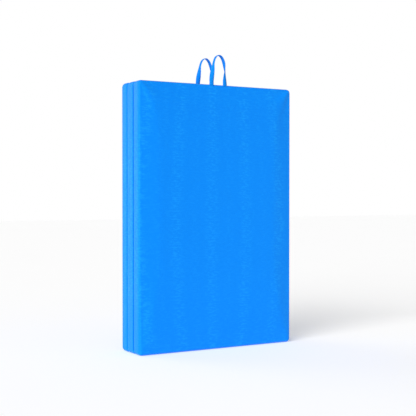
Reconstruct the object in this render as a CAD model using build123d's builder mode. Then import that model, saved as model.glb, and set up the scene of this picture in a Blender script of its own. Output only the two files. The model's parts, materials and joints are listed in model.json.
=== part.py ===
from build123d import *

import math
import os

# Folding gym mat: three zipped foam panels, folded in a Z and standing on edge.
# X is the panels' width, Y the stack's depth (front face towards -Y) and Z is up.
# The origin is on the floor, under the middle of the stack. Sizes are millimetres.

# ---- driving dimensions ----
PANEL_WIDTH = 610.0
PANEL_HEIGHT = 915.0
PANEL_THICKNESS = 46.0
PANEL_GAP = 1.4
CORNER_RADIUS = 13.0
EDGE_RADIUS = 10.0
COVER = 0.9
SEAM_ANGLE = 45

# fold strips: cloth folded round each fold line, sewn to the two panels that it joins
FOLD_OVERHANG = 1.0
STRIP_CLOTH = 0.5
STRIP_CLEARANCE = 0.1
STRIP_SEWN = 12.0
STRIP_END_INSET = 18.0

# zip groove along the bottom edge of each panel, measured up from the floor
GROOVE_HALF_WIDTH = 7.0
ZIP_LIP_HEIGHT = 5.1
GROOVE_HEIGHT = 7.3
TAPE_THICKNESS = 0.6
TAPE_INNER_EDGE = 0.6
COIL_WIDTH = 2.7
COIL_HEIGHT = 2.1
COIL_HALF_LENGTH = 272.0
COIL_ROUNDING = 0.6
STOP_LENGTH = 3.0
STOP_HEIGHT = 2.6
STOP_ROUNDING = 0.5

# zip slider: two wings joined by a thin post, with a pull hinged under the lower wing
SLIDER_LENGTH = 10.0
SLIDER_WIDTH = 9.2
SLIDER_REST_X = 266.0
SLIDER_ROUNDING = 1.5
LOWER_WING = (1.9, 2.7)
UPPER_WING = (6.0, 6.8)
FLANGE_TOP = 4.6
FLANGE_THICKNESS = 0.8
FLANGE_END_INSET = 2.0
POST_WIDTH = 0.6
POST_LENGTH = 4.0
POST_END_INSET = 1.0
PULL_HINGE_Z = 1.0
PULL_HINGE_OFFSET = 2.0
PULL_PIN_RADIUS = 0.35
PULL_BORE_RADIUS = 0.42
PULL_BARREL_RADIUS = 0.7
PULL_BARREL_LENGTH = 3.6
PULL_LENGTH = 14.0
PULL_THICKNESS = 0.7
PULL_TAB = (11.2, 4.8)
PULL_NECK = (5.6, 2.5)
PULL_WINDOW = (4.2, 1.9)
PULL_WINDOW_OFFSET = 10.1
LUG_THICKNESS = 0.8
LUG_SIDE_CLEARANCE = 0.2
LUG_HALF_LENGTH = 1.2
LUG_BELOW_PIN = 0.6
JOIN_OVERLAP = 0.1

# webbing carry handles, sewn into the front top seam of the front and rear panels
WEBBING_WIDTH = 16.0
WEBBING_THICKNESS = 1.5
HANDLE_LEG_SPACING = 50.0
HANDLE_HEIGHT = 103.0
HANDLE_ARCH_HEIGHT = 55.0
HANDLE_LEG_STEPS = 6
HANDLE_ARCH_STEPS = 16
HANDLE_PIVOT_OFFSET = 1.2
HANDLE_TAIL_DEPTH = 11.0
HANDLE_FLEX_GAP = 0.2

# ---- worked out ----
PITCH = PANEL_THICKNESS + PANEL_GAP
PANELS = {"front": -PITCH, "middle": 0.0, "rear": PITCH}
SEAM_INSET = EDGE_RADIUS * (1 - math.cos(math.radians(SEAM_ANGLE)))
SIDE_START = PANEL_WIDTH / 2 - CORNER_RADIUS
PIVOT_STEP = HANDLE_PIVOT_OFFSET * math.cos(math.radians(SEAM_ANGLE))
PULL_HINGE_X = SLIDER_REST_X + PULL_HINGE_OFFSET
OVERSIZE = 20.0


def save(piece, name):
    """Labels a finished piece and writes it as its own STEP file."""
    piece.label = name
    export_step(piece, f"parts/{name}.step")


def panel_block(inset, centre_y):
    """The panel's pillow shape, shrunk on every side by inset."""
    depth = PANEL_THICKNESS - 2 * inset
    middle = Plane(origin=(0, centre_y, PANEL_HEIGHT / 2), x_dir=(1, 0, 0), z_dir=(0, -1, 0))
    with BuildPart() as block:
        with BuildSketch(middle):
            RectangleRounded(
                PANEL_WIDTH - 2 * inset,
                PANEL_HEIGHT - 2 * inset,
                CORNER_RADIUS - inset,
            )
        extrude(amount=depth / 2, both=True)
        rims = block.faces().filter_by(Axis.Y).edges()
        fillet(rims, radius=EDGE_RADIUS - inset)
    return block.part


def span_box(low, high, mode=Mode.ADD):
    """A box between two opposite corners, in the block that is open."""
    size = [b - a for a, b in zip(low, high)]
    centre = [(a + b) / 2 for a, b in zip(low, high)]
    with Locations(tuple(centre)):
        Box(*size, mode=mode)


def groove_box(centre_y, half_width, top, mode=Mode.ADD):
    """The space of the zip groove under one panel."""
    span_box(
        (-SIDE_START, centre_y - half_width, -OVERSIZE),
        (SIDE_START, centre_y + half_width, top),
        mode=mode,
    )


def handle_pivot(centre_y):
    """Where a handle bends, just outside the front top seam of its panel: (y, z)."""
    seam_y = centre_y - PANEL_THICKNESS / 2 + SEAM_INSET
    seam_z = PANEL_HEIGHT - SEAM_INSET
    return seam_y - PIVOT_STEP, seam_z + PIVOT_STEP


def handle_tails(centre_y):
    """The two ends of a handle's webbing, sewn into the seam at 45 degrees."""
    pivot_y, pivot_z = handle_pivot(centre_y)
    length = HANDLE_PIVOT_OFFSET - HANDLE_FLEX_GAP + HANDLE_TAIL_DEPTH
    with BuildPart() as tails:
        for side in (-1, 1):
            seam = Plane(
                origin=(side * HANDLE_LEG_SPACING / 2, pivot_y, pivot_z),
                x_dir=(1, 0, 0),
                z_dir=(0, 1, -1),
            )
            with BuildSketch(seam.offset(HANDLE_FLEX_GAP + WEBBING_THICKNESS / 2)):
                Rectangle(WEBBING_WIDTH, WEBBING_THICKNESS)
            extrude(amount=length)
    return tails.part


def cover_piece(shell, low, high):
    """The part of a panel's cover that lies in one box."""
    with BuildPart() as piece:
        add(shell)
        span_box(low, high, mode=Mode.INTERSECT)
    return piece.part


def make_cover(name, centre_y, tails):
    """Front and rear sheets, three gusset strips and the two lips beside the zip."""
    with BuildPart() as shell:
        add(panel_block(0, centre_y))
        add(panel_block(COVER, centre_y), mode=Mode.SUBTRACT)
        groove_box(centre_y, GROOVE_HALF_WIDTH, GROOVE_HEIGHT, mode=Mode.SUBTRACT)
        if tails is not None:
            add(tails, mode=Mode.SUBTRACT)
    front = centre_y - PANEL_THICKNESS / 2
    rear = centre_y + PANEL_THICKNESS / 2
    front_seam = front + SEAM_INSET
    rear_seam = rear - SEAM_INSET
    side = PANEL_WIDTH / 2 + OVERSIZE
    top = PANEL_HEIGHT + OVERSIZE
    corner_top = PANEL_HEIGHT - CORNER_RADIUS
    regions = {
        "cover_front": ((-side, front - OVERSIZE, -OVERSIZE), (side, front_seam, top)),
        "cover_rear": ((-side, rear_seam, -OVERSIZE), (side, rear + OVERSIZE, top)),
        "gusset_left": ((-side, front_seam, -OVERSIZE), (-SIDE_START, rear_seam, top)),
        "gusset_right": ((SIDE_START, front_seam, -OVERSIZE), (side, rear_seam, top)),
        "gusset_top": ((-SIDE_START, front_seam, corner_top), (SIDE_START, rear_seam, top)),
    }
    for part_name, (low, high) in regions.items():
        save(cover_piece(shell.part, low, high), f"{name}_{part_name}")
    lips = {
        "zip_lip_front": (front_seam, centre_y - GROOVE_HALF_WIDTH, -1),
        "zip_lip_rear": (centre_y + GROOVE_HALF_WIDTH, rear_seam, 1),
    }
    for part_name, (low_y, high_y, outward) in lips.items():
        hem = centre_y + outward * GROOVE_HALF_WIDTH
        hem_low, hem_high = sorted((hem, hem + outward * COVER))
        with BuildPart() as lip:
            add(shell.part)
            span_box(
                (-SIDE_START, low_y, -OVERSIZE),
                (SIDE_START, high_y, CORNER_RADIUS),
                mode=Mode.INTERSECT,
            )
            span_box(
                (-SIDE_START, hem_low, COVER / 2),
                (SIDE_START, hem_high, ZIP_LIP_HEIGHT),
            )
        save(lip.part, f"{name}_{part_name}")


def make_foam(name, centre_y, tails):
    """Two laminated foam layers, notched along the bottom for the zip."""
    core = panel_block(COVER, centre_y)
    half = PANEL_THICKNESS / 2
    layers = {"foam_front_layer": (-half, 0.0), "foam_rear_layer": (0.0, half)}
    for part_name, (low_y, high_y) in layers.items():
        with BuildPart() as layer:
            add(core)
            span_box(
                (-PANEL_WIDTH, centre_y + low_y, -OVERSIZE),
                (PANEL_WIDTH, centre_y + high_y, PANEL_HEIGHT + OVERSIZE),
                mode=Mode.INTERSECT,
            )
            groove_box(centre_y, GROOVE_HALF_WIDTH + COVER, GROOVE_HEIGHT, mode=Mode.SUBTRACT)
            if tails is not None and high_y == 0.0:
                add(tails, mode=Mode.SUBTRACT)
        save(layer.part, f"{name}_{part_name}")


def make_zip(name, centre_y):
    """Tapes, coils and end stops of the zip along a panel's bottom edge."""
    outer_edge = GROOVE_HALF_WIDTH + COVER
    tape_z = (ZIP_LIP_HEIGHT, ZIP_LIP_HEIGHT + TAPE_THICKNESS)
    coil_z = (ZIP_LIP_HEIGHT - COIL_HEIGHT, ZIP_LIP_HEIGHT)
    stop_z = (ZIP_LIP_HEIGHT - STOP_HEIGHT, ZIP_LIP_HEIGHT)
    for half_name, side in (("front", -1), ("rear", 1)):
        tape_y = sorted((side * TAPE_INNER_EDGE, side * outer_edge))
        coil_y = sorted((side * TAPE_INNER_EDGE, side * (TAPE_INNER_EDGE + COIL_WIDTH)))
        with BuildPart() as tape:
            span_box(
                (-SIDE_START, centre_y + tape_y[0], tape_z[0]),
                (SIDE_START, centre_y + tape_y[1], tape_z[1]),
            )
        save(tape.part, f"{name}_zip_tape_{half_name}")
        with BuildPart() as coil:
            span_box(
                (-COIL_HALF_LENGTH, centre_y + coil_y[0], coil_z[0]),
                (COIL_HALF_LENGTH, centre_y + coil_y[1], coil_z[1]),
            )
            fillet(coil.edges().filter_by(Axis.X).group_by(Axis.Z)[0], radius=COIL_ROUNDING)
        save(coil.part, f"{name}_zip_coil_{half_name}")
    half_width = TAPE_INNER_EDGE + COIL_WIDTH
    stop_x = COIL_HALF_LENGTH + STOP_LENGTH / 2
    with BuildPart() as stops:
        with Locations(*[(side * stop_x, centre_y, sum(stop_z) / 2) for side in (-1, 1)]):
            Box(STOP_LENGTH, 2 * half_width, STOP_HEIGHT)
        fillet(stops.edges().filter_by(Axis.Z), radius=STOP_ROUNDING)
    save(stops.part, f"{name}_zip_stops")


def make_slider(name, centre_y):
    """The zip's slider and the pull tab that hangs on its pin."""
    end_x = (SLIDER_REST_X - SLIDER_LENGTH / 2, SLIDER_REST_X + SLIDER_LENGTH / 2)
    half = SLIDER_WIDTH / 2
    with BuildPart() as slider:
        for low_z, high_z in (LOWER_WING, UPPER_WING):
            span_box((end_x[0], centre_y - half, low_z), (end_x[1], centre_y + half, high_z))
        fillet(slider.edges().filter_by(Axis.Z), radius=SLIDER_ROUNDING)
        for side in (-1, 1):
            flange_y = sorted((side * half, side * (half - FLANGE_THICKNESS)))
            span_box(
                (end_x[0] + FLANGE_END_INSET, centre_y + flange_y[0], LOWER_WING[1]),
                (end_x[1] - FLANGE_END_INSET, centre_y + flange_y[1], FLANGE_TOP),
            )
            lug_inner = PULL_BARREL_LENGTH / 2 + LUG_SIDE_CLEARANCE
            lug_y = sorted((side * lug_inner, side * (lug_inner + LUG_THICKNESS)))
            span_box(
                (PULL_HINGE_X - LUG_HALF_LENGTH, centre_y + lug_y[0], PULL_HINGE_Z - LUG_BELOW_PIN),
                (PULL_HINGE_X + LUG_HALF_LENGTH, centre_y + lug_y[1], LOWER_WING[0] + JOIN_OVERLAP),
            )
        span_box(
            (end_x[1] - POST_LENGTH, centre_y - POST_WIDTH / 2, LOWER_WING[1] - JOIN_OVERLAP),
            (end_x[1] - POST_END_INSET, centre_y + POST_WIDTH / 2, UPPER_WING[0] + JOIN_OVERLAP),
        )
        pin_plane = Plane(
            origin=(PULL_HINGE_X, centre_y, PULL_HINGE_Z), x_dir=(1, 0, 0), z_dir=(0, 1, 0)
        )
        with BuildSketch(pin_plane):
            Circle(PULL_PIN_RADIUS)
        extrude(amount=lug_inner + LUG_THICKNESS / 2, both=True)
    save(slider.part, f"{name}_zip_slider")

    with BuildPart() as pull:
        with BuildSketch(pin_plane):
            Circle(PULL_BARREL_RADIUS)
        extrude(amount=PULL_BARREL_LENGTH / 2, both=True)
        tab_x = PULL_HINGE_X + PULL_LENGTH - PULL_TAB[0] / 2
        with BuildSketch(Plane.XY.offset(PULL_HINGE_Z - PULL_THICKNESS / 2)):
            with Locations((tab_x, centre_y)):
                SlotOverall(*PULL_TAB)
            with Locations((PULL_HINGE_X + PULL_NECK[0] / 2, centre_y)):
                Rectangle(*PULL_NECK)
            with Locations((PULL_HINGE_X + PULL_WINDOW_OFFSET, centre_y)):
                SlotOverall(*PULL_WINDOW, mode=Mode.SUBTRACT)
        extrude(amount=PULL_THICKNESS)
        with BuildSketch(pin_plane):
            Circle(PULL_BORE_RADIUS)
        extrude(amount=PULL_BARREL_LENGTH, both=True, mode=Mode.SUBTRACT)
    save(pull.part, f"{name}_zip_pull")


def make_fold_strip(name, contact_y, side):
    """Cloth folded round one fold line, with its crest on the hinge axis."""
    half_gap = PANEL_GAP / 2
    outer = half_gap - STRIP_CLEARANCE
    inner = outer - STRIP_CLOTH
    crest_x = PANEL_WIDTH / 2 + FOLD_OVERHANG
    sewn_end = PANEL_WIDTH / 2 - EDGE_RADIUS - STRIP_SEWN
    bottom = STRIP_END_INSET
    with BuildPart() as strip:
        with BuildSketch(Plane.XY.offset(bottom)):
            with Locations((side * (crest_x + sewn_end) / 2, contact_y)):
                Rectangle(crest_x - sewn_end, 2 * outer)
                Rectangle(crest_x - sewn_end, 2 * inner, mode=Mode.SUBTRACT)
            with Locations((side * crest_x, contact_y)):
                Circle(outer)
                Circle(inner, mode=Mode.SUBTRACT)
            with Locations((side * (crest_x + sewn_end) / 2, contact_y)):
                Rectangle(crest_x - sewn_end, 2 * inner, mode=Mode.SUBTRACT)
        extrude(amount=PANEL_HEIGHT - 2 * bottom)
    save(strip.part, name)


def handle_stations(pivot_z):
    """Places along a webbing loop: its x, height, direction and turn from flat to edge-on."""
    half = HANDLE_LEG_SPACING / 2
    crown = PANEL_HEIGHT + HANDLE_HEIGHT - WEBBING_THICKNESS / 2
    spring = crown - HANDLE_ARCH_HEIGHT
    quarter = math.radians(90)
    leg = []
    for step in range(HANDLE_LEG_STEPS):
        share = step / HANDLE_LEG_STEPS
        turn = quarter * share * share * (3 - 2 * share)
        leg.append((pivot_z + (spring - pivot_z) * share, turn))
    stations = [(-half, height, Vector(0, 0, 1), turn) for height, turn in leg]
    for step in range(HANDLE_ARCH_STEPS + 1):
        angle = math.pi * (1 - step / HANDLE_ARCH_STEPS)
        x = half * math.cos(angle)
        height = spring + HANDLE_ARCH_HEIGHT * math.sin(angle)
        along = Vector(half * math.sin(angle), 0, -HANDLE_ARCH_HEIGHT * math.cos(angle))
        stations.append((x, height, along, quarter))
    stations += [(half, height, Vector(0, 0, -1), turn) for height, turn in reversed(leg)]
    return stations


def make_handle(name, centre_y):
    """A webbing loop: flat on the seam at both feet, turned a quarter up each leg."""
    pivot_y, pivot_z = handle_pivot(centre_y)
    with BuildPart() as handle:
        for x, height, along, turn in handle_stations(pivot_z):
            across = Vector(math.copysign(math.cos(turn), x), math.sin(turn), 0)
            with BuildSketch(Plane(origin=(x, pivot_y, height), x_dir=across, z_dir=along)):
                Rectangle(WEBBING_WIDTH, WEBBING_THICKNESS)
        loft(ruled=True)
    save(handle.part, name)


os.makedirs("parts", exist_ok=True)

for panel, panel_y in PANELS.items():
    tails = None
    if panel in ("front", "rear"):
        tails = handle_tails(panel_y)
        save(tails, f"{panel}_handle_tails")
        make_handle(f"{panel}_handle", panel_y)
    make_cover(panel, panel_y, tails)
    make_foam(panel, panel_y, tails)
    make_zip(panel, panel_y)
    make_slider(panel, panel_y)

make_fold_strip("left_fold_strip", -PITCH / 2, -1)
make_fold_strip("right_fold_strip", PITCH / 2, 1)
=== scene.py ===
import json
import math

import bpy
import numpy as np
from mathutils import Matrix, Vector


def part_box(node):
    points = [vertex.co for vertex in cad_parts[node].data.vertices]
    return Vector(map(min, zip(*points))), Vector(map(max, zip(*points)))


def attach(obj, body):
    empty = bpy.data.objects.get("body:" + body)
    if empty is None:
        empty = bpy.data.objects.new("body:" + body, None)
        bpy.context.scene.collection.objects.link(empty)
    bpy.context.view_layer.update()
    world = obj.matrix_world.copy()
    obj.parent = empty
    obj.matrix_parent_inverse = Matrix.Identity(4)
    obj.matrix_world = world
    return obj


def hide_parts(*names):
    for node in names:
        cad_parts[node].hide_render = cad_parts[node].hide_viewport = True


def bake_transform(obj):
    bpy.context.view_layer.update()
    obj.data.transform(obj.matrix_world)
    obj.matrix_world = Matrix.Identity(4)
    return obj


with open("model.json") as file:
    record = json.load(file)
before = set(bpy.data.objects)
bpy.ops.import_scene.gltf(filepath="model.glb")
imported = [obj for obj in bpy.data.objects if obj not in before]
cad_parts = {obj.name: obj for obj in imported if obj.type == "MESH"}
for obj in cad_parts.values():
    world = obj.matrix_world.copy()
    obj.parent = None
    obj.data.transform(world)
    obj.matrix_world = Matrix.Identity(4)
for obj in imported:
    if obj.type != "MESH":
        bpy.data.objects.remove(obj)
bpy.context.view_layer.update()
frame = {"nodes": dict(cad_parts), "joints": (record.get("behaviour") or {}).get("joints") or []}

MM = 0.001

# ---- sizes that are the same in the CAD part, in metres and degrees ----
CORNER_RADIUS = 13 * MM
SEAM_ANGLE = 45
MAT_HEIGHT = 915 * MM
GROOVE_HALF_WIDTH = 7 * MM
WEBBING_WIDTH = 16 * MM
WEBBING_THICKNESS = 1.5 * MM
STRIP_CLOTH = 0.5 * MM

# ---- sizes that differ from the CAD part ----
# 0.3 mm lower than the roof of the CAD part's groove
GROOVE_ROOF = 7.0 * MM
# fitted to the photo; the legs of the CAD part's loops are 50 mm apart
LOOP_LEG_SPACING = 53 * MM

# ---- how the covers are made up ----
CORNER_STEPS = 4
COARSE_STEP = 11 * MM
STEP_GROWTH = 1.35
SEAM_DEPTH = 0.8 * MM
GUSSET_BULGE = 0.8 * MM
FACE_CROWN = 2.2 * MM
CROWN_POWER = 10
# how the rounded edges run: sideways, and in depth for a free face and for a pressed one
EDGE_SIDEWAYS = 10 * MM
FREE_EDGE = (15 * MM, 2.0)
PRESSED_SIDE_EDGE = (8.5 * MM, 3.4)
PRESSED_END_EDGE = (10 * MM, 2.1)
PUCKER_HEIGHT = 0.35 * MM
# how far round the edge a pucker fades, in degrees, and the lengths of its waves in metres
PUCKER_SPREAD = 30
FRONT_PUCKERS = (0.021, 0.034, 0.055, 0.013)
REAR_PUCKERS = (0.019, 0.031, 0.061, 0.014)
REAR_PUCKER_SEED_STEP = 50
# rings of the cover: angles round each rounded edge, and depths across its side
EDGE_ANGLES = (9, 18, 28, 37, 42, SEAM_ANGLE, 48, 53, 62, 72, 81, 90)
WALL_DEPTHS = (-7.15, -6.85, -3.2, 0, 3.2, 6.85, 7.15)
# how far downwards a rim point must face: on the floor, in the groove, held, raised in the foam
FLOOR_FACING_START = 0.3
FLOOR_FACING_SPAN = 0.5
GROOVE_FACING = 0.99
HELD_FACING = 0.2
FOAM_RAISED_FACING = 0.5
GRID_TOLERANCE = 0.1 * MM
HELD_ANGLES = (37, 53)

# the cloth simulation
COVER_SEED = 11
COVER_PRESSURE = 1.2
SIM_FRAMES = 16
SIM_CAP = 2.2 * MM
SHARED_FACE_CAP = 0.15 * MM
# the hinges run 1 mm outside the sides, so two panels folded open are 2 mm apart
SIDE_CAP = 0.85 * MM

# the foam blocks inside the covers
FOAM_INSET = 2.4 * MM
FOAM_HALF_CUT = 0.15 * MM
FOAM_GROOVE_MARGIN = 1 * MM
FOAM_ABOVE_GROOVE = 0.6 * MM

# the seams' stitches
STITCH_ANGLE = SEAM_ANGLE + 13
STITCH_SIDES = 6
# where along a stitch, as a share of its length, and how thick there
STITCH_PROFILE = ((-0.5, 0.25), (-0.3, 0.9), (0.3, 0.9), (0.5, 0.25))
STITCH_PITCH = 5.0 * MM
STITCH_LENGTH = 3.6 * MM
STITCH_RADIUS = 0.45 * MM

# faint upright bands in the cover fabric
BAND_PITCH = 118 * MM
BAND_OFFSET = 25 * MM
BAND_WOBBLE = 9 * MM
BAND_BOW = 0.84
FAINT_BAND_SHARE = 0.8

PANELS = ("front", "middle", "rear")
OUTER_FACES = {"front": -1, "rear": 1}


# ---------------------------------------------------------------- shader nodes
# the Mix node has a set of sockets for each kind of value; these are its colour ones
MIX_COLOUR_INPUTS = (6, 7)
MIX_COLOUR_OUTPUT = 2


def new_material(name):
    """An empty node material with its Principled shader and output."""
    material = bpy.data.materials.new(name)
    material.use_nodes = True
    tree = material.node_tree
    tree.nodes.clear()
    shader = tree.nodes.new("ShaderNodeBsdfPrincipled")
    output = tree.nodes.new("ShaderNodeOutputMaterial")
    tree.links.new(shader.outputs["BSDF"], output.inputs["Surface"])
    return material, tree, shader


def link(tree, source, target):
    tree.links.new(source, target)


def math_node(tree, operation, first, second=None):
    """A Math node on sockets or plain numbers; returns its output."""
    node = tree.nodes.new("ShaderNodeMath")
    node.operation = operation
    for socket, value in zip(node.inputs, (first, second)):
        if value is None:
            continue
        if isinstance(value, (int, float)):
            socket.default_value = value
        else:
            link(tree, value, socket)
    return node.outputs[0]


def place_coordinates(tree, scale=(1, 1, 1), kind="Object"):
    """The point on the piece, stretched by scale along each axis."""
    coordinates = tree.nodes.new("ShaderNodeTexCoord")
    mapping = tree.nodes.new("ShaderNodeMapping")
    mapping.inputs["Scale"].default_value = scale
    link(tree, coordinates.outputs[kind], mapping.inputs["Vector"])
    return mapping.outputs["Vector"]


def noise(tree, scale, detail=2.0, vector=None, distortion=0.0):
    node = tree.nodes.new("ShaderNodeTexNoise")
    node.inputs["Scale"].default_value = scale
    node.inputs["Detail"].default_value = detail
    node.inputs["Distortion"].default_value = distortion
    if vector is not None:
        link(tree, vector, node.inputs["Vector"])
    return node.outputs["Fac"]


def spread(tree, value, low, high, out_low=0.0, out_high=1.0):
    """Maps low..high to out_low..out_high, clamped."""
    node = tree.nodes.new("ShaderNodeMapRange")
    link(tree, value, node.inputs["Value"])
    node.inputs["From Min"].default_value = low
    node.inputs["From Max"].default_value = high
    node.inputs["To Min"].default_value = out_low
    node.inputs["To Max"].default_value = out_high
    return node.outputs["Result"]


def mix_colours(tree, share, first, second):
    """Blends two colours by share; each is a colour or a socket."""
    node = tree.nodes.new("ShaderNodeMix")
    node.data_type = "RGBA"
    link(tree, share, node.inputs["Factor"])
    first_input, second_input = (node.inputs[i] for i in MIX_COLOUR_INPUTS)
    for socket, value in ((first_input, first), (second_input, second)):
        if isinstance(value, tuple):
            socket.default_value = (*value, 1.0)
        else:
            link(tree, value, socket)
    return node.outputs[MIX_COLOUR_OUTPUT]


def bump(tree, height, distance, strength=1.0, below=None):
    node = tree.nodes.new("ShaderNodeBump")
    node.inputs["Strength"].default_value = strength
    node.inputs["Distance"].default_value = distance
    link(tree, height, node.inputs["Height"])
    if below is not None:
        link(tree, below, node.inputs["Normal"])
    return node.outputs["Normal"]


# ------------------------------------------------------------------- materials
COVER_BLUE = (0.0008, 0.256, 0.93)
COVER_LIGHT = (0.0060, 0.315, 0.95)
COVER_DEEP = (0.0005, 0.236, 0.89)
# darker blue painted into the grain's creases as shade
COVER_CREASE_SHADE = (0.0004, 0.17, 0.78)
WEBBING_BLUE = (0.001, 0.32, 0.95)
WEBBING_DEEP = (0.0005, 0.17, 0.70)
THREAD_BLUE = (0.006, 0.235, 0.86)
# the darker grey is painted shade in the foam's pits
FOAM_PIT_SHADE, FOAM_WHITE = (0.72, 0.72, 0.69), (0.88, 0.88, 0.86)
NYLON_DEEP, NYLON_BLUE = (0.002, 0.09, 0.5), (0.004, 0.14, 0.66)
ENAMEL_BLUE, BARE_ZINC = (0.004, 0.11, 0.52), (0.35, 0.37, 0.4)
FLOOR_LOW, FLOOR_HIGH = (0.90, 0.90, 0.90), (0.92, 0.92, 0.92)

# pattern sizes, in cells or radians to the metre
GRAIN_CELLS = 620
DASH_CELLS = (66, 66, 180)
WOBBLE_CELLS = (4, 4, 16)
CLOUD_CELLS = 7.0
RIB_RADIANS = 3900.0
WARP_RADIANS = 6280.0
FUZZ_CELLS = 2600
HERRINGBONE = 2.0 * MM
TWIST_CELLS = 1500
FOAM_CELLS = 420
TAPE_RADIANS = 9000.0


def leather_grain(tree, cell_scale):
    """Small uneven pebbles with creases between them, as embossed coated fabric has."""
    vector = place_coordinates(tree)
    pebble = tree.nodes.new("ShaderNodeTexVoronoi")
    pebble.feature = "SMOOTH_F1"
    pebble.inputs["Scale"].default_value = cell_scale
    pebble.inputs["Smoothness"].default_value = 0.35
    link(tree, vector, pebble.inputs["Vector"])
    grain = noise(tree, cell_scale * 2.2, 3.0, vector)
    return math_node(tree, "ADD", pebble.outputs["Distance"], math_node(tree, "MULTIPLY", grain, 0.4))


def wavy_columns(tree):
    """Upright bands that bow outwards at mid-height: broad ones with faint ones between."""
    parts = tree.nodes.new("ShaderNodeSeparateXYZ")
    link(tree, place_coordinates(tree), parts.inputs["Vector"])
    wander = noise(tree, 1.0, 2.0, place_coordinates(tree, WOBBLE_CELLS))
    wobble = spread(tree, wander, 0, 1, -BAND_WOBBLE, BAND_WOBBLE)
    half_waves = math_node(tree, "MULTIPLY", parts.outputs["Z"], math.pi / MAT_HEIGHT)
    bow = math_node(tree, "SINE", half_waves)
    squeeze = spread(tree, bow, 0, 1, 1.0, BAND_BOW)
    along = math_node(tree, "ADD", math_node(tree, "MULTIPLY", parts.outputs["X"], squeeze), wobble)
    turn = math_node(tree, "MULTIPLY", math_node(tree, "ADD", along, BAND_OFFSET), 2 * math.pi / BAND_PITCH)
    broad = math_node(tree, "COSINE", turn)
    faint = math_node(tree, "COSINE", math_node(tree, "MULTIPLY", turn, 2.0))
    both = math_node(tree, "ADD", broad, math_node(tree, "MULTIPLY", faint, FAINT_BAND_SHARE))
    return spread(tree, both, -1.0, 1.6, 0.22, 0.9)


def cover_material(name, deep_share=0.0):
    """Bright blue coated fabric: fine grain with painted shade in its creases, faint wavy columns and a soft
    sheen.
    """
    material, tree, shader = new_material(name)
    column_share = wavy_columns(tree)
    dashes = noise(tree, 1.0, 2.0, place_coordinates(tree, DASH_CELLS), 0.15)
    dash_share = spread(tree, dashes, 0.45, 0.62)
    light = math_node(tree, "MULTIPLY", column_share, dash_share)
    cloud = spread(tree, noise(tree, CLOUD_CELLS, 3.0, place_coordinates(tree)), 0.3, 0.7)
    base = mix_colours(tree, spread(tree, cloud, 0, 1, deep_share, deep_share + 0.3), COVER_BLUE, COVER_DEEP)
    mottled = mix_colours(tree, light, base, COVER_LIGHT)
    grain = leather_grain(tree, GRAIN_CELLS)
    # painted shade: the grain's creases are darkened in the colour
    crease_shade_share = spread(tree, grain, 0.75, 1.0, 0.0, 0.45)
    link(tree, mix_colours(tree, crease_shade_share, mottled, COVER_CREASE_SHADE), shader.inputs["Base Color"])
    link(tree, spread(tree, cloud, 0, 1, 0.46, 0.56), shader.inputs["Roughness"])
    shader.inputs["Specular IOR Level"].default_value = 0.065
    shader.inputs["Sheen Weight"].default_value = 0.12
    shader.inputs["Sheen Roughness"].default_value = 0.4
    soft = bump(tree, cloud, 0.4 * MM, 0.25)
    link(tree, bump(tree, grain, 0.22 * MM, 0.6, soft), shader.inputs["Normal"])
    return material


def webbing_material(name):
    """Flat woven webbing: a herringbone of ribs across its width, with firm edges."""
    material, tree, shader = new_material(name)
    vector = place_coordinates(tree, kind="UV")
    parts = tree.nodes.new("ShaderNodeSeparateXYZ")
    link(tree, vector, parts.inputs["Vector"])
    across = parts.outputs["X"]
    along = parts.outputs["Y"]
    zigzag = math_node(tree, "PINGPONG", across, HERRINGBONE)
    slanted = math_node(tree, "ADD", along, zigzag)
    ribs = math_node(tree, "SINE", math_node(tree, "MULTIPLY", slanted, RIB_RADIANS))
    warp = math_node(tree, "SINE", math_node(tree, "MULTIPLY", across, WARP_RADIANS))
    weave = math_node(tree, "ADD", ribs, math_node(tree, "MULTIPLY", warp, 0.5))
    fuzz = noise(tree, FUZZ_CELLS, 2.0, vector)
    height = math_node(tree, "ADD", weave, fuzz)
    shade = spread(tree, height, -0.6, 1.8)
    link(tree, mix_colours(tree, shade, WEBBING_DEEP, WEBBING_BLUE), shader.inputs["Base Color"])
    shader.inputs["Roughness"].default_value = 0.62
    shader.inputs["Specular IOR Level"].default_value = 0.08
    shader.inputs["Sheen Weight"].default_value = 0.06
    link(tree, bump(tree, height, 0.10 * MM, 0.7), shader.inputs["Normal"])
    return material


def thread_material(name):
    material, tree, shader = new_material(name)
    twist = noise(tree, TWIST_CELLS, 2.0, place_coordinates(tree))
    link(tree, mix_colours(tree, twist, THREAD_BLUE, COVER_DEEP), shader.inputs["Base Color"])
    shader.inputs["Roughness"].default_value = 0.5
    link(tree, bump(tree, twist, 0.05 * MM, 0.5), shader.inputs["Normal"])
    return material


def foam_material(name):
    """Closed-cell foam: white, finely pitted, with painted shade in the pits."""
    material, tree, shader = new_material(name)
    vector = place_coordinates(tree)
    cells = tree.nodes.new("ShaderNodeTexVoronoi")
    cells.inputs["Scale"].default_value = FOAM_CELLS
    link(tree, vector, cells.inputs["Vector"])
    # painted shade: the pits at the cells' middles are darker in the colour
    share = spread(tree, cells.outputs["Distance"], 0.1, 0.7)
    link(tree, mix_colours(tree, share, FOAM_PIT_SHADE, FOAM_WHITE), shader.inputs["Base Color"])
    shader.inputs["Roughness"].default_value = 0.85
    link(tree, bump(tree, share, 0.3 * MM, 0.6), shader.inputs["Normal"])
    return material


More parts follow.
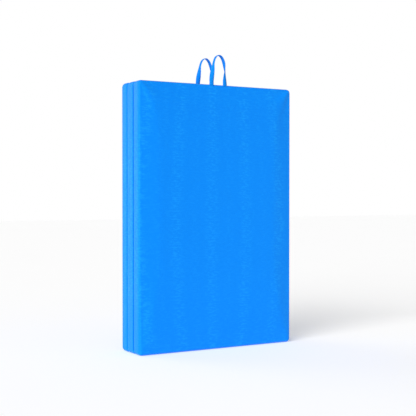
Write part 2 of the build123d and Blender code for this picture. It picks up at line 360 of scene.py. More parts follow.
def tape_material(name):
    """Zip tape: a fine plain weave."""
    material, tree, shader = new_material(name)
    vector = place_coordinates(tree)
    parts = tree.nodes.new("ShaderNodeSeparateXYZ")
    link(tree, vector, parts.inputs["Vector"])
    warp = math_node(tree, "SINE", math_node(tree, "MULTIPLY", parts.outputs["X"], TAPE_RADIANS))
    weft = math_node(tree, "SINE", math_node(tree, "MULTIPLY", parts.outputs["Y"], TAPE_RADIANS))
    weave = spread(tree, math_node(tree, "MULTIPLY", warp, weft), -1, 1)
    link(tree, mix_colours(tree, weave, WEBBING_DEEP, WEBBING_BLUE), shader.inputs["Base Color"])
    shader.inputs["Roughness"].default_value = 0.8
    link(tree, bump(tree, weave, 0.08 * MM, 0.6), shader.inputs["Normal"])
    return material


def nylon_material(name):
    material, tree, shader = new_material(name)
    tone = noise(tree, 300, 2.0, place_coordinates(tree))
    link(tree, mix_colours(tree, tone, NYLON_DEEP, NYLON_BLUE), shader.inputs["Base Color"])
    shader.inputs["Roughness"].default_value = 0.35
    link(tree, bump(tree, tone, 0.03 * MM, 0.4), shader.inputs["Normal"])
    return material


def painted_metal_material(name):
    """Enamelled zinc, rubbed a little in scattered spots."""
    material, tree, shader = new_material(name)
    vector = place_coordinates(tree)
    rubbed = spread(tree, noise(tree, 520, 4.0, vector), 0.62, 0.7)
    link(tree, mix_colours(tree, rubbed, ENAMEL_BLUE, BARE_ZINC), shader.inputs["Base Color"])
    link(tree, rubbed, shader.inputs["Metallic"])
    link(tree, spread(tree, noise(tree, 900, 2.0, vector), 0.3, 0.7, 0.22, 0.42), shader.inputs["Roughness"])
    shader.inputs["Coat Weight"].default_value = 0.3
    return material


def floor_material(name):
    material, tree, shader = new_material(name)
    tone = noise(tree, 1.5, 2.0, place_coordinates(tree))
    link(tree, mix_colours(tree, tone, FLOOR_LOW, FLOOR_HIGH), shader.inputs["Base Color"])
    shader.inputs["Emission Color"].default_value = (1, 1, 1, 1)
    shader.inputs["Emission Strength"].default_value = 0.3
    shader.inputs["Roughness"].default_value = 0.9
    shader.inputs["Specular IOR Level"].default_value = 0.1
    return material


COVER = cover_material("cover_fabric")
STRIP = cover_material("fold_strip_fabric", 0.25)
WEBBING = webbing_material("carry_webbing")
THREAD = thread_material("seam_thread")
FOAM = foam_material("foam")
TAPE = tape_material("zip_tape")
NYLON = nylon_material("zip_nylon")
METAL = painted_metal_material("zip_metal")


# ----------------------------------------------------------------- mesh helpers
def make_object(name, points, faces, material, uvs=None):
    """A smooth-shaded mesh object from points, faces and, if given, one UV per point."""
    mesh = bpy.data.meshes.new(name)
    mesh.from_pydata([tuple(p) for p in points], [], [tuple(f) for f in faces])
    mesh.validate()
    mesh.polygons.foreach_set("use_smooth", [True] * len(mesh.polygons))
    if uvs is not None:
        layer = mesh.uv_layers.new(name="UVMap")
        corner_points = np.zeros(len(mesh.loops), int)
        mesh.loops.foreach_get("vertex_index", corner_points)
        layer.data.foreach_set("uv", np.asarray(uvs, float)[corner_points].ravel())
    mesh.materials.append(material)
    mesh.update()
    piece = bpy.data.objects.new(name, mesh)
    bpy.context.scene.collection.objects.link(piece)
    return piece


def apply_modifiers(piece):
    """Replaces a piece's mesh with what its modifiers make of it."""
    graph = bpy.context.evaluated_depsgraph_get()
    done = bpy.data.meshes.new_from_object(piece.evaluated_get(graph))
    piece.modifiers.clear()
    piece.data = done


def subdivide(piece):
    """Smooths a piece by one subdivision, applied."""
    modifier = piece.modifiers.new("smooth", "SUBSURF")
    modifier.levels = 1
    modifier.render_levels = 1
    apply_modifiers(piece)
    piece.data.polygons.foreach_set("use_smooth", [True] * len(piece.data.polygons))


def ripple(position, seed, lengths, height):
    """A smooth uneven wave: a few sines with random phases, the same ones each run."""
    random = np.random.default_rng(seed)
    wave = np.zeros_like(position)
    for length in lengths:
        wave += np.sin(2 * math.pi * position / length + random.uniform(0, 2 * math.pi))
    return height * wave / len(lengths)


def tube_faces(rings, sides, flipped=False):
    """Faces of a closed tube whose points come ring by ring, with a face at each end."""
    faces = []
    for ring in range(rings - 1):
        for k in range(sides):
            after = (k + 1) % sides
            a, b = ring * sides, (ring + 1) * sides
            faces.append((a + k, a + after, b + after, b + k))
    faces.append(tuple(reversed(range(sides))))
    faces.append(tuple(range((rings - 1) * sides, rings * sides)))
    if flipped:
        faces = [(face[0], *reversed(face[1:])) for face in faces]
    return faces


# ------------------------------------------------------------------ panel forms
def graded_positions(half, corner):
    """Grid lines from -half to half: fine at both ends, coarser in the middle."""
    step = corner / CORNER_STEPS
    distances = [k * step for k in range(CORNER_STEPS + 1)]
    while distances[-1] < half:
        step = min(step * STEP_GROWTH, COARSE_STEP)
        distances.append(distances[-1] + step)
    distances = np.array(distances)
    stretch = (half - corner) / (distances[-1] - corner)
    distances[CORNER_STEPS:] = corner + (distances[CORNER_STEPS:] - corner) * stretch
    left = distances - half
    return np.concatenate([left, -left[-2::-1]])


def round_corners(x, z, half_x, half_z, radius):
    """Moves a grid's corners on to round ones, and gives each point's outward direction."""
    u = np.clip(np.abs(x) - (half_x - radius), 0, radius) / radius
    v = np.clip(np.abs(z) - (half_z - radius), 0, radius) / radius
    round_u = u * np.sqrt(1 - v * v / 2)
    round_v = v * np.sqrt(1 - u * u / 2)
    new_x = np.sign(x) * (np.minimum(np.abs(x), half_x - radius) + radius * round_u)
    new_z = np.sign(z) * (np.minimum(np.abs(z), half_z - radius) + radius * round_v)
    out = np.stack([np.sign(x) * round_u, np.sign(z) * round_v], axis=-1)
    size = np.linalg.norm(out, axis=-1, keepdims=True)
    return new_x, new_z, out / np.where(size > 0, size, 1)


class PanelForm:
    """A closed pad: a front and a rear grid joined by rings round a rounded edge."""

    def __init__(self, low, high, outer, inset=0.0):
        self.low, self.high = np.array(low) + inset, np.array(high) - inset
        self.centre = (self.low + self.high) / 2
        half = (self.high - self.low) / 2
        self.outer = outer
        self.half_y = half[1]
        self.reach = EDGE_SIDEWAYS - inset
        self.half_x, self.half_z = half[0] - self.reach, half[2] - self.reach
        self.corner = CORNER_RADIUS - EDGE_SIDEWAYS
        self.lines_x = graded_positions(self.half_x, self.corner)
        self.lines_z = graded_positions(self.half_z, self.corner)
        x, z = np.meshgrid(self.lines_x, self.lines_z, indexing="ij")
        self.grid_x, self.grid_z, out = round_corners(x, z, self.half_x, self.half_z, self.corner)
        self.rim = self.rim_indices()
        self.rim_x = self.grid_x.ravel()[self.rim]
        self.rim_z = self.grid_z.ravel()[self.rim]
        self.rim_out = out.reshape(-1, 2)[self.rim]
        step_x = np.diff(self.rim_x, append=self.rim_x[:1])
        step_z = np.diff(self.rim_z, append=self.rim_z[:1])
        step = np.hypot(step_x, step_z)
        self.rim_along = np.concatenate([[0], np.cumsum(step)[:-1]])
        self.rim_length = step.sum()

    def rim_indices(self):
        """The grid's outer points in order, anticlockwise seen from the front."""
        nx, nz = len(self.lines_x), len(self.lines_z)
        index = np.arange(nx * nz).reshape(nx, nz)
        return np.concatenate([index[:-1, 0], index[-1, :-1], index[:0:-1, -1], index[0, :0:-1]])

    def ring(self, out, y):
        """The rim moved outwards by out, at depth y from the panel's middle."""
        points = np.empty((len(self.rim), 3))
        points[:, 0] = self.centre[0] + self.rim_x + self.rim_out[:, 0] * out
        points[:, 1] = self.centre[1] + y
        points[:, 2] = self.centre[2] + self.rim_z + self.rim_out[:, 1] * out
        return points

    def face(self, y):
        """The whole grid, at depth y from the panel's middle."""
        x = self.centre[0] + self.grid_x.ravel()
        z = self.centre[2] + self.grid_z.ravel()
        return np.stack([x, np.full(x.size, self.centre[1] + y), z], axis=1)

    def close(self, front, rings, rear):
        """All points and faces: the front grid, the rings between, and the rear grid."""
        nx, nz = len(self.lines_x), len(self.lines_z)
        count, around = nx * nz, len(self.rim)
        points = np.concatenate([front, *rings, rear])
        faces = []
        rear_start = count + len(rings) * around
        for i in range(nx - 1):
            for j in range(nz - 1):
                a, b = i * nz + j, (i + 1) * nz + j
                faces.append((a, b, b + 1, a + 1))
                faces.append((rear_start + a, rear_start + a + 1, rear_start + b + 1, rear_start + b))
        loops = [self.rim] + [count + k * around + np.arange(around) for k in range(len(rings))]
        loops.append(rear_start + self.rim)
        for near, far in zip(loops, loops[1:]):
            for k in range(around):
                after = (k + 1) % around
                faces.append((near[k], far[k], far[after], near[after]))
        return points, faces

    def edge_curve(self, side, angle, depth, power):
        """One edge's section at an angle: how far out, and its depth from the middle."""
        turn = math.radians(angle)
        out = self.reach * math.sin(turn) ** (2 / power)
        return out, side * (self.half_y - depth * (1 - math.cos(turn) ** (2 / power)))

    def edge(self, side, angle):
        """The rounded edge all along the rim: fuller where the panels' sides are pressed."""
        if side == self.outer:
            out, y = self.edge_curve(side, angle, *FREE_EDGE)
            return np.full(len(self.rim), out), np.full(len(self.rim), y)
        at_sides = self.edge_curve(side, angle, *PRESSED_SIDE_EDGE)
        at_ends = self.edge_curve(side, angle, *PRESSED_END_EDGE)
        share = self.rim_out[:, 1] ** 2
        return tuple(a * (1 - share) + b * share for a, b in zip(at_sides, at_ends))

    def wall(self, y):
        """A line round the panel's side, at one depth from its middle."""
        return np.full(len(self.rim), self.reach), np.full(len(self.rim), y)


def edge_profile(form):
    """Rings from the front rim to the rear one: (angle round the edge, outward, depth)."""
    rings = [(a, *form.edge(-1, a)) for a in EDGE_ANGLES]
    rings += [(90, *form.wall(y * MM)) for y in WALL_DEPTHS]
    rings += [(a, *form.edge(1, a)) for a in reversed(EDGE_ANGLES)]
    return rings


def floor_share(form):
    """How much each rim point belongs to the flat bottom: 0 at the sides and 1 on the floor."""
    return np.clip((-form.rim_out[:, 1] - FLOOR_FACING_START) / FLOOR_FACING_SPAN, 0, 1)


def groove_mask(form):
    """Rim points along the bottom edge, where the zip groove runs."""
    half_length = (form.high[0] - form.low[0]) / 2 - CORNER_RADIUS
    within = np.abs(form.rim_x) <= half_length + GRID_TOLERANCE
    return (form.rim_out[:, 1] < -GROOVE_FACING) & within


def cover_points(form, seed, front_crown, rear_crown):
    """The cover's resting shape: crowned faces, a bulging gusset, seam lines, puckers."""
    groove = groove_mask(form)
    on_floor = floor_share(form)
    rear_seed = seed + REAR_PUCKER_SEED_STEP
    pucker_front = ripple(form.rim_along, seed, FRONT_PUCKERS, PUCKER_HEIGHT)
    pucker_rear = ripple(form.rim_along, rear_seed, REAR_PUCKERS, PUCKER_HEIGHT)
    rings = []
    for angle, out, y in edge_profile(form):
        pucker = pucker_front if y.max() < 0 else pucker_rear
        near_seam = math.exp(-abs(angle - SEAM_ANGLE) / PUCKER_SPREAD)
        push = pucker * near_seam * (1 - on_floor)
        if angle == SEAM_ANGLE:
            push = push - SEAM_DEPTH
        across = np.abs(y) / form.half_y
        bulge = GUSSET_BULGE * (1 - across**2) * (1 - on_floor)
        slope = math.radians(angle)
        ring = form.ring(out, y)
        sideways = push * math.sin(slope) + bulge
        ring[:, 0] += form.rim_out[:, 0] * sideways
        ring[:, 2] += form.rim_out[:, 1] * sideways
        ring[:, 1] += np.sign(y) * push * math.cos(slope)
        if np.abs(y).max() < GROOVE_HALF_WIDTH:
            ring[groove, 2] = form.low[2] + GROOVE_ROOF
        rings.append(ring)
    faces = []
    for side, crown in ((-1, front_crown), (1, rear_crown)):
        points = form.face(side * form.half_y)
        u = form.grid_x.ravel() / form.half_x
        v = form.grid_z.ravel() / form.half_z
        rise = crown * (1 - u**CROWN_POWER) * (1 - v**CROWN_POWER)
        points[:, 1] += side * rise
        faces.append(points)
    return faces[0], rings, faces[1]


def cover_pins(form):
    """Points that the simulation holds still: the seam rings, and all that faces the floor."""
    count, around = form.grid_x.size, len(form.rim)
    pins = []
    for k, (angle, _, _) in enumerate(edge_profile(form)):
        start = count + k * around
        if HELD_ANGLES[0] <= angle <= HELD_ANGLES[1]:
            pins += range(start, start + around)
        else:
            low = np.nonzero(form.rim_out[:, 1] < -HELD_FACING)[0]
            pins += (start + low).tolist()
    return [int(p) for p in pins]


def inflate(piece, pins):
    """Cloth simulation of the sewn cover under the foam's push; the result is applied."""
    group = piece.vertex_groups.new(name="sewn")
    group.add(pins, 1.0, "REPLACE")
    modifier = piece.modifiers.new("cover", "CLOTH")
    cloth = modifier.settings
    cloth.quality = 4
    cloth.mass = 0.35
    cloth.tension_stiffness = 60
    cloth.compression_stiffness = 40
    cloth.shear_stiffness = 30
    cloth.bending_stiffness = 6
    cloth.use_pressure = True
    cloth.uniform_pressure_force = COVER_PRESSURE
    cloth.vertex_group_mass = "sewn"
    cloth.effector_weights.gravity = 0
    modifier.collision_settings.use_self_collision = False
    modifier.collision_settings.use_collision = False
    modifier.point_cache.frame_start = 1
    modifier.point_cache.frame_end = SIM_FRAMES
    scene = bpy.context.scene
    for number in range(1, SIM_FRAMES + 1):
        scene.frame_set(number)
    apply_modifiers(piece)
    scene.frame_set(1)


def read_points(piece):
    points = np.zeros(len(piece.data.vertices) * 3)
    piece.data.vertices.foreach_get("co", points)
    return points.reshape(-1, 3)


def write_points(piece, points):
    piece.data.vertices.foreach_set("co", np.asarray(points, float).ravel())
    piece.data.update()


def panel_box(panel):
    """The lowest and highest corners of a panel's cover in the frame."""
    names = ["cover_front", "cover_rear", "gusset_left", "gusset_right"]
    corners = [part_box(f"{panel}_{name}") for name in names]
    low = np.min([c[0] for c in corners], axis=0)
    high = np.max([c[1] for c in corners], axis=0)
    return low, high


def ease_sides(points, low, high):
    """Eases the sides' swelling, so that two panels folded open stay clear of each other."""
    for edge, way in ((low[0], -1), (high[0], 1)):
        past = np.maximum(way * (points[:, 0] - edge), 0)
        points[:, 0] += way * (SIDE_CAP * np.tanh(past / SIDE_CAP) - past)


def make_cover(panel, seed):
    """One panel's cover, simulated, capped and smoothed."""
    low, high = panel_box(panel)
    outer = OUTER_FACES.get(panel, 0)
    form = PanelForm(low, high, outer)
    front_crown = FACE_CROWN if outer < 0 else 0.0
    rear_crown = FACE_CROWN if outer > 0 else 0.0
    front, rings, rear = cover_points(form, seed, front_crown, rear_crown)
    points, faces = form.close(front, rings, rear)
    piece = make_object(f"{panel}_cover", points, faces, COVER)
    inflate(piece, cover_pins(form))
    moved = read_points(piece) - points
    size = np.linalg.norm(moved, axis=1, keepdims=True)
    moved *= np.minimum(1, SIM_CAP / np.maximum(size, 1e-9))
    points = points + moved
    front_cap = SHARED_FACE_CAP if outer >= 0 else FACE_CROWN + SIM_CAP
    rear_cap = SHARED_FACE_CAP if outer <= 0 else FACE_CROWN + SIM_CAP
    points[:, 1] = np.clip(points[:, 1], low[1] - front_cap, high[1] + rear_cap)
    points[:, 2] = np.maximum(points[:, 2], low[2])
    ease_sides(points, low, high)
    write_points(piece, points)
    subdivide(piece)
    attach(piece, f"{panel}_panel")
    parts = ["cover_front", "cover_rear", "gusset_left", "gusset_right", "gusset_top"]
    parts += ["zip_lip_front", "zip_lip_rear"]
    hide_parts(*[f"{panel}_{part}" for part in parts])
    return form


def make_foam(panel):
    """The two foam layers just inside the cover, as soft-edged blocks."""
    low, high = panel_box(panel)
    form = PanelForm(low, high, OUTER_FACES.get(panel, 0), FOAM_INSET)
    # the whole bottom edge is raised, so that no foam shows at the groove's ends
    bottom = form.rim_out[:, 1] < -FOAM_RAISED_FACING
    bottom_z = low[2] + GROOVE_ROOF + FOAM_ABOVE_GROOVE
    for side, layer in ((-1, "front"), (1, "rear")):
        rings = []
        for _, out, y in edge_profile(form):
            if np.max(side * y) <= 0:
                continue
            ring = form.ring(out, y)
            if np.abs(y).max() < GROOVE_HALF_WIDTH + FOAM_GROOVE_MARGIN:
                ring[bottom, 2] = bottom_z
            rings.append(ring)
        last = form.ring(form.reach, side * FOAM_HALF_CUT)
        last[bottom, 2] = bottom_z
        cap = form.face(side * FOAM_HALF_CUT)
        cap[form.rim] = last
        if side < 0:
            points, faces = form.close(form.face(-form.half_y), rings, cap)
        else:
            points, faces = form.close(cap, rings, form.face(form.half_y))
        piece = make_object(f"{panel}_foam_{layer}", points, faces, FOAM)
        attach(piece, f"{panel}_panel")
        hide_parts(f"{panel}_foam_{layer}_layer")


# --------------------------------------------------------------------- stitching
def capsule(length, radius):
    """A short thread lying along X: points and faces round a bulged line."""
    points = []
    for share, width in STITCH_PROFILE:
        for k in range(STITCH_SIDES):
            turn = 2 * math.pi * k / STITCH_SIDES
            points.append((share * length, width * radius * math.cos(turn), width * radius * math.sin(turn)))
    return np.array(points), tube_faces(len(STITCH_PROFILE), STITCH_SIDES)


def stitches(name, centres, along, out, body, radius=STITCH_RADIUS):
    """A row of threads at the given places, each lying along its own direction."""
    shape, shape_faces = capsule(STITCH_LENGTH, radius)
    side = np.cross(out, along)
    points = (
        centres[:, None]
        + shape[None, :, 0, None] * along[:, None]
        + shape[None, :, 1, None] * side[:, None]
        + shape[None, :, 2, None] * out[:, None]
    ).reshape(-1, 3)
    faces = [tuple(i + k * len(shape) for i in f) for k in range(len(centres)) for f in shape_faces]
    piece = make_object(name, points, faces, THREAD)
    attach(piece, body)
    return piece


def unit(vectors):
    return vectors / np.linalg.norm(vectors, axis=-1, keepdims=True)


def make_seam_stitches(panel, form):
    """A row of stitches beside each seam, on the gusset's side."""
    count = int(form.rim_length / STITCH_PITCH)
    at = np.arange(count) * form.rim_length / count
    loop = np.append(form.rim_along, form.rim_length)
    angle = math.radians(STITCH_ANGLE)
    for side, seam in ((-1, "front"), (1, "rear")):
        reach, y = form.edge(side, STITCH_ANGLE)
        ring = form.ring(reach + GUSSET_BULGE * (1 - (y / form.half_y) ** 2), y)
        flat = form.ring(reach, y)
        ring += (flat - ring) * floor_share(form)[:, None]
        closed = np.vstack([ring, ring[:1]])
        centres = np.stack([np.interp(at, loop, closed[:, k]) for k in range(3)], axis=1)
        normals = np.vstack([form.rim_out, form.rim_out[:1]])
        flat_out = np.stack([np.interp(at, loop, normals[:, k]) for k in range(2)], axis=1)
        facing = np.full(count, side * math.cos(angle))
        sideways = flat_out * math.sin(angle)
        out = unit(np.stack([sideways[:, 0], facing, sideways[:, 1]], axis=1))
        ahead = np.roll(centres, -1, axis=0) - np.roll(centres, 1, axis=0)
        along = unit(ahead - (ahead * out).sum(1, keepdims=True) * out)
        stitches(f"{panel}_stitches_{seam}", centres, along, out, f"{panel}_panel")


# ------------------------------------------------------------------- fold strips
def joint(name):
    return next(j for j in frame["joints"] if j["name"] == name)


STRIP_STITCH_INSET = 3.5 * MM
STRIP_THREAD_RADIUS = 0.32 * MM
STRIP_THREAD_SUNK = 0.20 * MM
LEAF_STEPS = 14
CREST_STEPS = 9
STRIP_ROWS = 90


def make_strip_stitches(side_name, inner_end, fold_y, inner_gap, toward_moving, moving_body, heights):
    """A row of thin stitches near each leaf's edge, bedded in the side that opens to view."""
    inset = math.copysign(STRIP_STITCH_INSET, inner_end)
    at = np.arange(heights[0] + STITCH_PITCH, heights[-1] - STITCH_PITCH, STITCH_PITCH)
    along = np.tile([0.0, 0.0, 1.0], (len(at), 1))
    leaves = {"middle_panel": -toward_moving, moving_body: toward_moving}
    for body, side in leaves.items():
        y = fold_y + side * (inner_gap + STRIP_THREAD_SUNK)
        centres = np.stack([np.full(len(at), inner_end + inset), np.full(len(at), y), at], axis=1)
        out = np.tile([0.0, -side, 0.0], (len(at), 1))
        name = f"{side_name}_strip_stitches_{body}"
        stitches(name, centres, along, out, body, radius=STRIP_THREAD_RADIUS)


def make_fold_strip(side_name, joint_name, moving_body):
    """One cloth strip round a fold line: two flat leaves and a rounded crest."""
    hinge = joint(joint_name)["pos_m"]
    low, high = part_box(f"{side_name}_fold_strip")
    side = -1 if side_name == "left" else 1
    crest = hinge[0]
    inner_end = high[0] if side < 0 else low[0]
    leaf = abs(crest - inner_end)
    gap = (high[1] - low[1]) / 2
    toward_moving = -1 if moving_body == "front_panel" else 1
    mid = gap - STRIP_CLOTH / 2
    still_y, moving_y = hinge[1] - toward_moving * mid, hinge[1] + toward_moving * mid
    profile = []
    for share in np.linspace(0, 1, LEAF_STEPS):
        profile.append((inner_end + side * leaf * share, still_y))
    for turn in np.linspace(0, math.pi, CREST_STEPS)[1:-1]:
        bend_y = hinge[1] - toward_moving * mid * math.cos(turn)
        profile.append((crest + side * mid * math.sin(turn), bend_y))
    for share in np.linspace(1, 0, LEAF_STEPS):
        profile.append((inner_end + side * leaf * share, moving_y))
    line = np.array(profile)
    heights = np.linspace(low[2], high[2], STRIP_ROWS)
    ahead = unit(np.gradient(line, axis=0))
    normal = np.stack([-ahead[:, 1], ahead[:, 0]], axis=1)
    sheets = [line + normal * STRIP_CLOTH / 2 * s for s in (1, -1)]
    count = len(line)
    points, faces = [], []
    for sheet in sheets:
        for z in heights:
            points += [(x, y, z) for x, y in sheet]
    layer = count * len(heights)
    for k in range(len(heights) - 1):
        for i in range(count - 1):
            a = k * count + i
            faces.append((a, a + 1, a + count + 1, a + count))
            b = layer + a
            faces.append((b, b + count, b + count + 1, b + 1))
    rim = list(range(count)) + [k * count + count - 1 for k in range(1, len(heights))]
    rim += [layer - 1 - i for i in range(1, count)] + [k * count for k in range(len(heights) - 2, 0, -1)]
    for a, b in zip(rim, rim[1:] + rim[:1]):
        faces.append((a, layer + a, layer + b, b))
    piece = make_object(f"{side_name}_fold_strip_cloth", points, faces, STRIP)
    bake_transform(piece)
    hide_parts(f"{side_name}_fold_strip")
    inner_gap = gap - STRIP_CLOTH
    make_strip_stitches(
        side_name, inner_end, hinge[1], inner_gap, toward_moving, moving_body, heights
    )


# ---------------------------------------------------------------------- handles
LOOP_STATIONS = 110
LEFT_TOP_POWER = 0.50
RIGHT_TOP_POWER = 0.57
LOOP_SIDE_POWER = 4
TWIST_ENDS = 0.78
OVERTURN = 6
TAIL_INSIDE = 7 * MM
BEND_LENGTH = 7 * MM
CUP_DEPTH = 2.9 * MM
CUP_START = 16 * MM
OUTLINE_STEPS = 400
SWAY_LENGTHS = (0.11, 0.19)
SWAY_HEIGHT = 0.8 * MM
LEG_SET_BACK = 0.6 * MM
# the shares of the loop's height where it turns on past a quarter, and where its cup flattens
OVERTURN_START, OVERTURN_SPAN = 0.55, 0.45
CUP_FADE_START, CUP_FADE_SPAN = 0.55, 0.4
CUP_FADE = 0.75
CUP_GROWTH_POWER = 0.7
TAIL_STEPS = 6
# the webbing's section: points across each face, and the narrower part at each side
SECTION_STEPS = 7
SECTION_EDGE = 0.5 * MM
SECTION_EDGE_SHARE = 0.35


def loop_outline(height, top_power):
    """Half of a webbing loop, from its foot up to its crown: offsets (x, z)."""
    turn = np.linspace(0, math.pi / 2, OUTLINE_STEPS)
    x = LOOP_LEG_SPACING / 2 * np.cos(turn) ** (2 * top_power)
    z = height * np.sin(turn) ** (2 / LOOP_SIDE_POWER)
    return x, z


def webbing_section():
    """The flat webbing's outline, as points across its width and through its thickness."""
    half, thick = WEBBING_WIDTH / 2, WEBBING_THICKNESS / 2
    flat = np.linspace(-half + SECTION_EDGE, half - SECTION_EDGE, SECTION_STEPS)
    narrow = thick * SECTION_EDGE_SHARE
    section = [(w, thick) for w in flat] + [(half, narrow), (half, -narrow)]
    return section + [(w, -thick) for w in flat[::-1]] + [(-half, -narrow), (-half, narrow)]


def loop_line(pivot, height, seed, crown_shift, right_bow):
    """The loop's middle line: its points, their distances along it and their rises."""
    left_x, left_z = loop_outline(height, LEFT_TOP_POWER)
    right_x, right_z = loop_outline(height, RIGHT_TOP_POWER)
    right_x = right_x + right_bow * np.sin(math.pi * right_z / height)
    path_x = np.concatenate([-left_x, right_x[-2::-1]])
    path_z = np.concatenate([left_z, right_z[-2::-1]])
    length = np.concatenate([[0], np.cumsum(np.hypot(np.diff(path_x), np.diff(path_z)))])
    at = np.linspace(0, length[-1], LOOP_STATIONS)
    px, pz = np.interp(at, length, path_x), np.interp(at, length, path_z)
    sway = ripple(at, seed, SWAY_LENGTHS, SWAY_HEIGHT) * np.sin(math.pi * at / at[-1])
    foot = np.exp(-pz / BEND_LENGTH)
    py = pivot[1] + sway - (1 - foot) * LEG_SET_BACK
    rise = pz / height
    body = np.stack([px + crown_shift * rise**2, py, pivot[2] + pz], axis=1)
    return body, at, pz


def loop_twist(at, rise):
    """Directions across the webbing: flat at the seam, a quarter turned up each leg."""
    share = np.clip(rise / TWIST_ENDS, 0, 1)
    turn = math.radians(90) * share**2 * (3 - 2 * share)
    past = np.clip((rise - OVERTURN_START) / OVERTURN_SPAN, 0, 1)
    turn += math.radians(OVERTURN) * np.sin(math.pi * past)
    side = np.where(at < at[-1] / 2, -1.0, 1.0)
    return np.stack([side * np.cos(turn), np.sin(turn), np.zeros_like(turn)], axis=1)


def loop_cup(pz, rise):
    """How far the webbing's sides curl: most in the legs, little at the crown."""
    grown = np.clip(pz / CUP_START, 0, 1) ** CUP_GROWTH_POWER
    fade = np.clip((rise - CUP_FADE_START) / CUP_FADE_SPAN, 0, 1)
    return CUP_DEPTH * grown * (1 - CUP_FADE * fade)


def make_handle(panel, seed, crown_shift, right_bow):
    """A webbing loop: sewn in flat, turned a quarter up each leg and bowed at the crown."""
    pivot = joint(f"{panel}_handle_lean")["pos_m"]
    _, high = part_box(f"{panel}_handle")
    height = high[2] - WEBBING_THICKNESS / 2 - pivot[2]
    body, at, pz = loop_line(pivot, height, seed, crown_shift, right_bow)
    rise = pz / height
    across = loop_twist(at, rise)
    inward = np.array([0, 1, -1]) / math.sqrt(2)
    tail_steps = np.linspace(1, 0, TAIL_STEPS, endpoint=False)[:, None] * TAIL_INSIDE
    left_tail = body[0] + inward * tail_steps
    right_tail = (body[-1] + inward * tail_steps)[::-1]
    line = np.concatenate([left_tail, body, right_tail])
    first, last = np.repeat(across[:1], TAIL_STEPS, 0), np.repeat(across[-1:], TAIL_STEPS, 0)
    across = np.concatenate([first, across, last])
    along = unit(np.gradient(line, axis=0))
    across = unit(across - (across * along).sum(1, keepdims=True) * along)
    normal = np.cross(across, along)
    travelled = np.concatenate([[0], np.cumsum(np.linalg.norm(np.diff(line, axis=0), axis=1))])
    cup = np.concatenate([np.zeros(TAIL_STEPS), loop_cup(pz, rise), np.zeros(TAIL_STEPS)])
    section = webbing_section()
    points, uvs = [], []
    for k in range(len(line)):
        for w, t in section:
            bow = cup[k] * (w / (WEBBING_WIDTH / 2)) ** 2
            points.append(line[k] + across[k] * w + normal[k] * (t + bow))
            uvs.append((w, travelled[k]))
    faces = tube_faces(len(line), len(section), flipped=True)
    piece = make_object(f"{panel}_handle_webbing", points, faces, WEBBING, uvs)
    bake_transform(piece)
    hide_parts(f"{panel}_handle", f"{panel}_handle_tails")


# --------------------------------------------------------------------------- zips
COIL_PITCH = 1.5 * MM
COIL_WIRE = 0.33 * MM
COIL_STEPS = 8
COIL_SIDES = 4


def make_coil(panel, half_name):
    """One row of zip teeth: a nylon line wound into flat loops."""
    low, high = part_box(f"{panel}_zip_coil_{half_name}")
    count = int((high[0] - low[0]) / COIL_PITCH)
    turns = np.arange(count * COIL_STEPS + 1) / COIL_STEPS
    offset = 0.0 if half_name == "front" else 0.5
    phase = 2 * math.pi * turns + offset * 2 * math.pi
    middle_y, middle_z = (low[1] + high[1]) / 2, (low[2] + high[2]) / 2
    half_y = (high[1] - low[1]) / 2 - COIL_WIRE
    half_z = (high[2] - low[2]) / 2 - COIL_WIRE
    line = np.stack(
        [
            low[0] + COIL_WIRE + turns * (high[0] - low[0] - 2 * COIL_WIRE) / count,
            middle_y + half_y * np.cos(phase),
            middle_z + half_z * np.sin(phase),
        ],
        axis=1,
    )
    along = unit(np.gradient(line, axis=0))
    side = unit(np.cross(along, np.array([1.0, 0.0, 0.0])))
    up = np.cross(side, along)
    angles = 2 * math.pi * np.arange(COIL_SIDES) / COIL_SIDES
    points = (
        line[:, None]
        + COIL_WIRE * np.cos(angles)[None, :, None] * side[:, None]
        + COIL_WIRE * np.sin(angles)[None, :, None] * up[:, None]
    ).reshape(-1, 3)
    faces = tube_faces(len(line), COIL_SIDES)
    piece = make_object(f"{panel}_zip_teeth_{half_name}", points, faces, NYLON)
    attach(piece, f"{panel}_panel")
    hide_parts(f"{panel}_zip_coil_{half_name}")


def dress_cad_node(name, material):
    """Gives a CAD node that stays in view its finished material."""
    node = frame["nodes"][name]
    node.data.materials.clear()
    node.data.materials.append(material)


def make_zip(panel):
    """Both rows of teeth, and finished materials for the zip's CAD nodes."""
    for half_name in ("front", "rear"):
        make_coil(panel, half_name)
        dress_cad_node(f"{panel}_zip_tape_{half_name}", TAPE)
    for part in ("zip_stops", "zip_slider", "zip_pull"):
        dress_cad_node(f"{panel}_{part}", METAL)


# ---------------------------------------------------------------- build the mat
for number, panel in enumerate(PANELS):
    panel_form = make_cover(panel, COVER_SEED + number)
    make_seam_stitches(panel, panel_form)
    make_foam(panel)
    make_zip(panel)

make_fold_strip("left", "front_fold", "front_panel")
make_fold_strip("right", "rear_fold", "rear_panel")
make_handle("front", 3, 1.5 * MM, 1.5 * MM)
make_handle("rear", 4, 3.0 * MM, 4.5 * MM)


# ------------------------------------------------------------- studio and camera
FLOOR_REACH = 14.0
FLOOR_DROP = 0.2 * MM
WORLD_LIGHT, WORLD_BACKDROP = 0.33, 1.0
KEY_TOWARD, KEY_STRENGTH = (0.77, 0.46, -0.42), 2.75
RIM_TOWARD, RIM_STRENGTH = (0.48, -0.82, -0.25), 0.6
LAMP_ANGLE = 40


def look(item, direction):
    """Turns a lamp or the camera to face along a direction."""
    item.rotation_mode = "QUATERNION"
    item.rotation_quaternion = Vector(direction).to_track_quat("-Z", "Y")


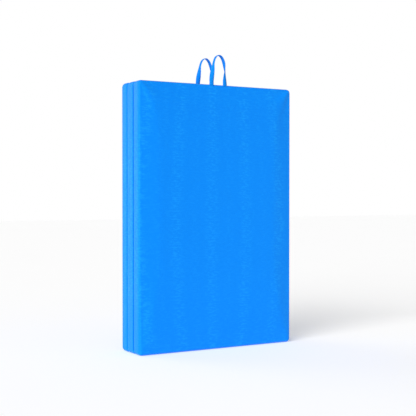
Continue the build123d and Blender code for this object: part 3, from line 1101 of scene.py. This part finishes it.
def add_soft_light(name, toward, strength, angle):
    """A distant soft lamp: where it shines, how bright and how broad it is."""
    data = bpy.data.lights.new(name, "SUN")
    data.energy = strength
    data.angle = math.radians(angle)
    light = bpy.data.objects.new(name, data)
    look(light, toward)
    bpy.context.scene.collection.objects.link(light)


def make_floor():
    """A broad white floor, just under the mat."""
    corners = [(x * FLOOR_REACH, y * FLOOR_REACH, 0) for x, y in ((-1, -1), (1, -1), (1, 1), (-1, 1))]
    floor = make_object("studio_floor", corners, [(0, 1, 2, 3)], floor_material("floor"))
    floor.location.z = -FLOOR_DROP


def make_world(lighting, backdrop):
    """A plain white room: dimmer as a light on the object than as a backdrop."""
    world = bpy.data.worlds.new("studio")
    world.use_nodes = True
    tree = world.node_tree
    background = tree.nodes["Background"]
    path = tree.nodes.new("ShaderNodeLightPath")
    strength = spread(tree, path.outputs["Is Camera Ray"], 0, 1, lighting, backdrop)
    link(tree, strength, background.inputs["Strength"])
    background.inputs["Color"].default_value = (1, 1, 1, 1)
    bpy.context.scene.world = world


# fitted to the photo
CAMERA_PLACE = (-1.680, -2.861, 0.545)
CAMERA_AZIMUTH = 30.4
CAMERA_PITCH = -0.98
CAMERA_LENS = 81.4

make_floor()
make_world(WORLD_LIGHT, WORLD_BACKDROP)
add_soft_light("key", KEY_TOWARD, KEY_STRENGTH, LAMP_ANGLE)
add_soft_light("rim", RIM_TOWARD, RIM_STRENGTH, LAMP_ANGLE)

camera_data = bpy.data.cameras.new("camera")
camera_data.lens = CAMERA_LENS
camera_data.sensor_width = 36
camera_data.clip_end = 100
camera = bpy.data.objects.new("camera", camera_data)
camera.location = CAMERA_PLACE
heading, pitch = math.radians(CAMERA_AZIMUTH), math.radians(CAMERA_PITCH)
level = math.cos(pitch)
look(camera, (math.sin(heading) * level, math.cos(heading) * level, math.sin(pitch)))
bpy.context.scene.collection.objects.link(camera)
bpy.context.scene.camera = camera
bpy.context.scene.view_settings.view_transform = "Standard"

bpy.context.view_layer.update()
